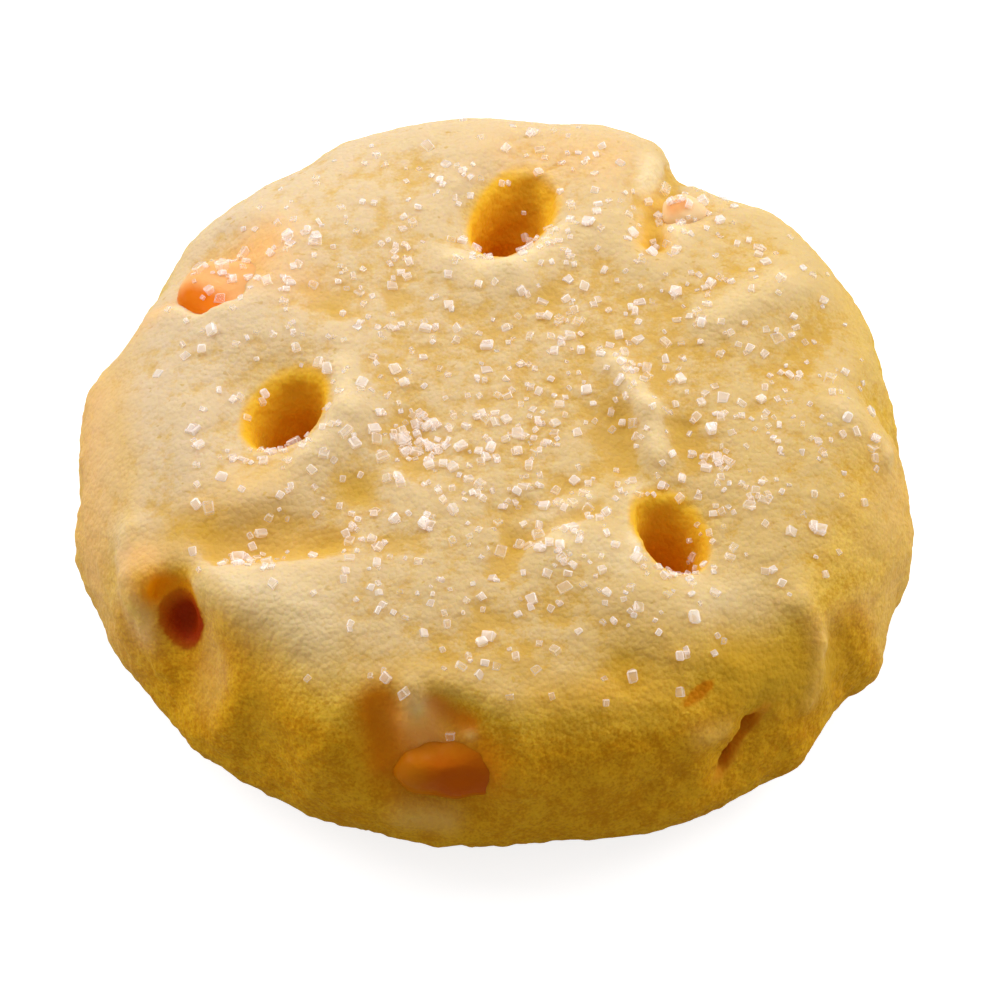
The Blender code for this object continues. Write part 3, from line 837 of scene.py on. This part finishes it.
# How far the fruit swells to fill its pocket, and how far it lies below the skin of the dough
# everywhere but at its lump.
FRUIT_SWELL, FRUIT_DEPTH = 0.45, 0.5


def make_fruit(name, skin):
    """A piece of candied fruit: swollen to fill its pocket, kept under the skin but for one lump."""
    mesh = evened(merged_copy(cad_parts[name]), name, FINE_EDGE)
    points = smoothed(mesh, 0.6, 4)
    points += normals_of(mesh) * FRUIT_SWELL
    for index, point in enumerate(points):
        place, normal, _, _ = skin.find_nearest(Vector(point) * MM)
        place, normal = np.array(place) / MM, np.array(normal)
        points[index] += normal * min(0.0, -FRUIT_DEPTH - (point - place) @ normal)
    put_points(mesh, points)
    bm = bmesh.new()
    bm.from_mesh(mesh)
    bm.from_mesh(lump_mesh(FRUITS[name].shows))
    mesh = evened(finished_mesh(bm, name), name, FINE_EDGE)
    points = smoothed(mesh, 0.5, 4)
    points += normals_of(mesh) * (0.25 * uneven(points, 1.6, 2.0))[:, None]
    put_points(mesh, points)
    store(mesh, "heart", stroke_weight(points, FRUITS[name].heart))
    mesh.shade_smooth()
    mesh.materials.clear()
    mesh.materials.append(fruit_look(f"candied_{name}", FRUITS[name].deep, FRUITS[name].pale))
    fruit = new_object(f"candied_{name}", mesh)
    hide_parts(name)
    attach(fruit, "root")
    return fruit


# The sugar: how many grains, in how many shapes, how far from the middle, the sizes of a grain, how opaque
# a grain's faces are and how much more its worn edges are, which whitens them as a painted highlight.
GRAINS, GRAIN_SHAPES, SUGARED_RADIUS = 1250, 14, 26.5
SMALLEST_GRAIN, USUAL_GRAIN, LARGEST_GRAIN = 0.32, 0.52, 0.95
GRAIN_CLOUD, EDGE_HIGHLIGHT_CLOUD = (0.08, 0.45), 0.22


def grain_mesh(dice):
    """One sugar crystal about 1 across: a cuboid with chipped corners and worn edges."""
    bm = bmesh.new()
    cloud = bm.faces.layers.float.new("cloud")
    bmesh.ops.create_cube(bm, size=1.0)
    sides = Vector((1.0, dice.uniform(0.7, 1.0), dice.uniform(0.5, 0.9)))
    for vert in bm.verts:
        chip = Vector(dice.uniform(0.60, 1.15) for _ in range(3))
        vert.co = Vector(a * b * c for a, b, c in zip(vert.co, sides, chip))
    worn = bmesh.ops.bevel(
        bm, geom=bm.edges, offset=dice.uniform(0.07, 0.15), offset_type="OFFSET",
        affect="EDGES", segments=1, profile=0.5, material=-1,
    )
    # Painted highlight: the worn edges are more opaque, so whiter.
    for face in worn["faces"]:
        face[cloud] = EDGE_HIGHLIGHT_CLOUD
    return finished_mesh(bm, "grain")


# Where sugar has gathered: a place, how far the grains spread and how many there are.
Heap = namedtuple("Heap", "place spread count")
HEAPS = (
    Heap((-5.9, -3.4), 1.2, 34), Heap((-4.9, -5.4), 0.9, 20), Heap((-17.0, -13.8), 1.1, 26),
    Heap((-9.6, -12.8), 1.6, 16), Heap((-1.6, 12.2), 0.8, 14), Heap((3.4, 13.0), 0.7, 8),
    Heap((-14.2, -5.0), 0.9, 14), Heap((-16.8, -5.2), 0.7, 6), Heap((12.6, -14.6), 1.1, 22),
    Heap((15.0, -10.2), 1.3, 18), Heap((15.2, -6.4), 1.2, 14), Heap((13.2, 16.6), 0.8, 14),
    Heap((11.1, 13.3), 0.3, 2), Heap((-20.0, 10.8), 1.0, 14), Heap((-15.6, 12.2), 1.6, 18),
    Heap((4.6, -13.4), 1.6, 14), Heap((0.4, -3.0), 2.2, 24), Heap((6.0, 4.0), 2.4, 22),
)


def landing(surfaces, x, y):
    """Where a grain dropped at x and y lands, and the normal there; None where it misses."""
    above = Vector((x * MM, y * MM, 30.0 * MM))
    met = [surface.ray_cast(above, Vector((0, 0, -1))) for surface in surfaces]
    place, normal, _, _ = min(met, key=lambda hit: 1.0 if hit[3] is None else hit[3])
    return place, normal


def add_grain(bm, dice, shapes, place, normal):
    """One grain, tipped and turned by chance and bedded a little into what it lies on."""
    cloud = bm.faces.layers.float["cloud"]
    size = dice.lognormvariate(math.log(USUAL_GRAIN), 0.30)
    size = min(LARGEST_GRAIN, max(SMALLEST_GRAIN, size)) * MM
    tilt = dice.gauss(0.0, 0.35)
    axis = Vector((dice.random() - 0.5, dice.random() - 0.5, 0.01))
    lean = Matrix.Rotation(tilt, 4, axis)
    settle = normal.to_track_quat("Z", "Y").to_matrix().to_4x4()
    turn = Matrix.Rotation(dice.uniform(0, math.tau), 4, "Z")
    lift = Matrix.Translation(place + normal * size * dice.uniform(-0.05, 0.24))
    before, faces_before = len(bm.verts), len(bm.faces)
    bm.from_mesh(dice.choice(shapes))
    bm.verts.ensure_lookup_table()
    bm.faces.ensure_lookup_table()
    milky = dice.uniform(*GRAIN_CLOUD)
    for face in bm.faces[faces_before:]:
        face[cloud] = min(1.0, face[cloud] + milky)
    placed = lift @ settle @ lean @ turn @ Matrix.Scale(size, 4)
    bmesh.ops.transform(bm, matrix=placed, verts=bm.verts[before:])


def make_sugar(sugared):
    """Coarse sugar grains scattered over the top, thick in the middle and thin at the edge."""
    dice = random.Random(7)
    heaped = [
        (dice.gauss(heap.place[0], heap.spread), dice.gauss(heap.place[1], heap.spread))
        for heap in HEAPS for _ in range(heap.count)
    ]
    shapes = [grain_mesh(dice) for _ in range(GRAIN_SHAPES)]
    surfaces = [tree_of(thing.data) for thing in sugared]
    bm = bmesh.new()
    bm.faces.layers.float.new("cloud")
    made = 0
    while made < GRAINS:
        scattered = not heaped
        x, y = (dice.uniform(-27, 27), dice.uniform(-27, 27)) if scattered else heaped.pop()
        edge = math.hypot(x, y) / SUGARED_RADIUS
        if scattered and (edge > 1.0 or dice.random() > 1.1 - edge**3 + 0.012 * x):
            continue
        place, normal = landing(surfaces, x, y)
        if place is None or normal.z < (0.5 if scattered else 0.05):
            continue
        add_grain(bm, dice, shapes, place, normal)
        made += 1
    sugar = new_object("sugar_grains", finished_mesh(bm, "sugar_grains"))
    sugar.data.materials.append(sugar_look())
    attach(sugar, "root")
    for shape in shapes:
        bpy.data.meshes.remove(shape)


def area_light(name, place, size, watts):
    lamp = bpy.data.lights.new(name, "AREA")
    lamp.shape = "DISK"
    lamp.size = size * MM
    lamp.energy = watts
    thing = new_object(name, lamp)
    thing.location = Vector(place) * MM
    thing.rotation_euler = (-thing.location).to_track_quat("-Z", "Y").to_euler()


def make_studio():
    """A pale floor, one big soft light overhead and a little behind, and a dim pale room."""
    bm = bmesh.new()
    bmesh.ops.create_grid(bm, x_segments=1, y_segments=1, size=1.5)
    floor = new_object("floor", finished_mesh(bm, "floor"))
    look = Look("pale_floor", 0.9)
    look.colour((0.5, 0.5, 0.5, 1.0))
    seen = look.node("ShaderNodeLightPath", {}, {}).outputs["Is Camera Ray"]
    look.plug(look.shader.inputs["Emission Color"], look.blend(seen, (0, 0, 0, 1), (1, 1, 1, 1)))
    look.constant("Emission Strength", 0.8)
    floor.data.materials.append(look.material)
    area_light("overhead", (0, 220, 360), 240, 0.71)
    area_light("left", (-340, 140, 220), 260, 0.9)
    area_light("right", (340, 140, 220), 260, 1.0)
    world = bpy.data.worlds.new("room")
    world.use_nodes = True
    room = world.node_tree.nodes["Background"].inputs
    room["Color"].default_value = (1.0, 1.0, 1.0, 1.0)
    room["Strength"].default_value = 0.365
    bpy.context.scene.world = world
    bpy.context.scene.view_settings.view_transform = "Standard"


def make_camera():
    """A long lens that looks down on the front of the biscuit."""
    tilt, distance, lens = math.radians(54.0), 420.0 * MM, 216.2
    aim = Vector((0.28, -1.91, 6.0)) * MM
    back = Vector((0.0, -math.cos(tilt), math.sin(tilt)))
    camera = new_object("camera", bpy.data.cameras.new("camera"))
    camera.data.lens = lens
    camera.data.sensor_width = 36.0
    camera.location = aim + back * distance
    camera.rotation_euler = (math.pi / 2 - tilt, 0.0, 0.0)
    bpy.context.scene.camera = camera


dough, skin = make_dough()
fruits = [make_fruit(name, skin) for name in FRUITS]
make_sugar([dough] + fruits)
make_studio()
make_camera()
